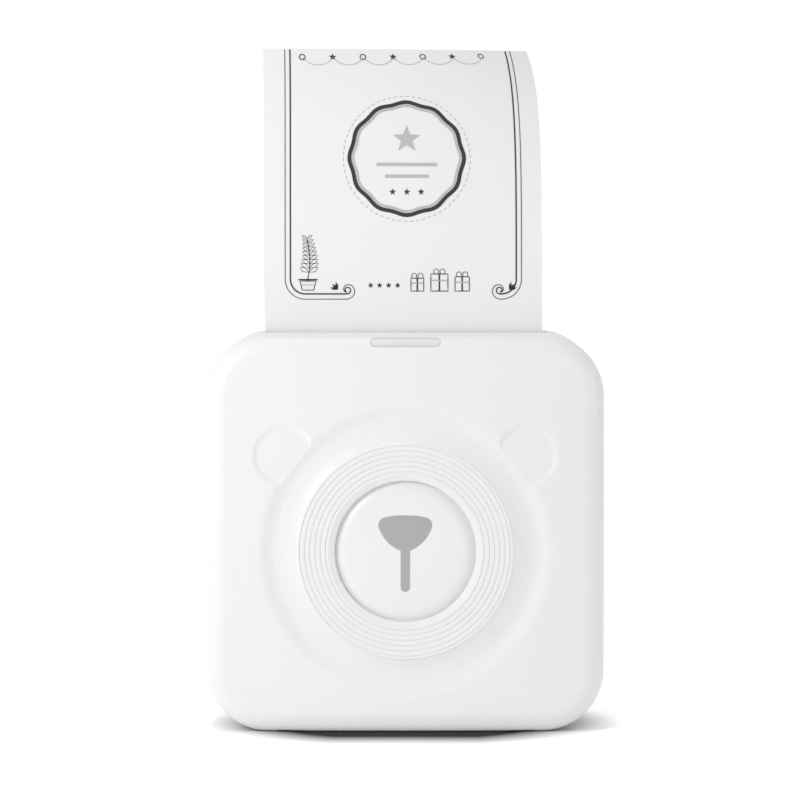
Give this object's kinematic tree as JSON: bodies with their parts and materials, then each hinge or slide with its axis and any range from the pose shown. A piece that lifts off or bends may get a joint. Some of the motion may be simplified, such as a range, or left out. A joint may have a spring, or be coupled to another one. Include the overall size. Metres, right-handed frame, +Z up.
{
  "type": "pocket thermal printer",
  "caption": "Pocket thermal printer with rounded case, animal-face relief, hinged front cover and printed strip rising from its slot.",
  "frame": {"origin": "middle of the case's lower face, which the printer stands on", "axes": "+X to the side with the button and the charging socket, -Y out of the face, +Z up along the paper"},
  "size_m": [0.083, 0.043, 0.1414],
  "materials": {
    "case_white": "satin",
    "cap_white": "gloss",
    "mark_grey": "satin",
    "window_grey": "gloss",
    "frame_grey": "matte",
    "paper": "matte",
    "card": "matte",
    "steel": "satin",
    "motor_steel": "satin",
    "heat_sink": "satin",
    "ceramic": "gloss",
    "roller_rubber": "matte",
    "bush_black": "satin",
    "gear_natural": "satin",
    "board_green": "satin",
    "socket_cream": "matte",
    "socket_steel": "satin",
    "battery_foil": "satin",
    "tape_white": "matte",
    "lead_red": "satin",
    "lead_yellow": "satin",
    "ribbon_amber": "satin"
  },
  "bodies": {
    "base": {"rear_case": "case_white", "chassis": "frame_grey", "platen_bushes": "bush_black", "idler_post": "steel", "stepper_motor": "motor_steel", "motor_screws": "steel", "paper_sensor": "bush_black", "tear_bar": "steel", "paper_strip": "paper", "main_board": "board_green", "board_chips": "bush_black", "board_sockets": "socket_cream", "radio_module": "board_green", "usb_socket": "socket_steel", "power_switch": "bush_black", "reset_switch": "bush_black", "battery": "battery_foil", "battery_tape": "tape_white", "battery_leads": "lead_red", "motor_leads": "lead_yellow", "board_ribbon": "ribbon_amber", "case_screws": "steel", "board_screws": "steel"},
    "cover": {"front_cover": "case_white", "nose_cap": "cap_white", "nose_mark": "mark_grey", "status_window": "window_grey", "status_board": "board_green", "hinge_pins": "steel", "cover_lining": "frame_grey", "lining_screws": "steel", "head_pin": "steel", "head_springs": "steel", "head_ribbon": "ribbon_amber"},
    "print_head": {"head_bracket": "steel", "heat_sink": "heat_sink", "ceramic_strip": "ceramic"},
    "platen": {"platen_shaft": "steel", "platen_rubber": "roller_rubber", "platen_gear": "gear_natural"},
    "idler": {"idler_gear": "gear_natural"},
    "pinion": {"drive_pinion": "gear_natural", "motor_shaft": "steel"},
    "roll": {"paper_roll": "paper", "roll_core": "card"},
    "button": {"power_button": "case_white"}
  },
  "joints": [
    {"name": "cover_hinge", "type": "hinge", "parent": "base", "child": "cover", "pos_m": [0, -0.01605, 0.0045], "axis": [1, 0, 0], "range_deg": [0, 80]},
    {"name": "head_tilt", "type": "hinge", "parent": "cover", "child": "print_head", "pos_m": [0, -0.0092, 0.0676], "axis": [1, 0, 0], "range_deg": [0, 1.5], "stiffness_Nm_per_rad": 0.2},
    {"name": "platen_spin", "type": "hinge", "parent": "base", "child": "platen", "pos_m": [0, 0.00061, 0.0715], "axis": [1, 0, 0], "continuous": true},
    {"name": "idler_spin", "type": "hinge", "parent": "base", "child": "idler", "pos_m": [0, 0.00884, 0.06675], "axis": [1, 0, 0], "continuous": true},
    {"name": "pinion_spin", "type": "hinge", "parent": "base", "child": "pinion", "pos_m": [0, 0.01102, 0.05648], "axis": [1, 0, 0], "continuous": true},
    {"name": "paper_roll_spin", "type": "hinge", "parent": "base", "child": "roll", "pos_m": [0, -0.001, 0.0255], "axis": [1, 0, 0], "continuous": true},
    {"name": "power_button_slide", "type": "slide", "parent": "base", "child": "button", "axis": [-1, 0, 0], "range_m": [0, 0.0005], "stiffness_N_per_m": 400}
  ],
  "couplings": [
    {"joint": "idler_spin", "follows": "platen_spin", "ratio": -1.7143},
    {"joint": "pinion_spin", "follows": "platen_spin", "ratio": 4.2857},
    {"joint": "paper_roll_spin", "follows": "platen_spin", "ratio": 0.3}
  ]
}
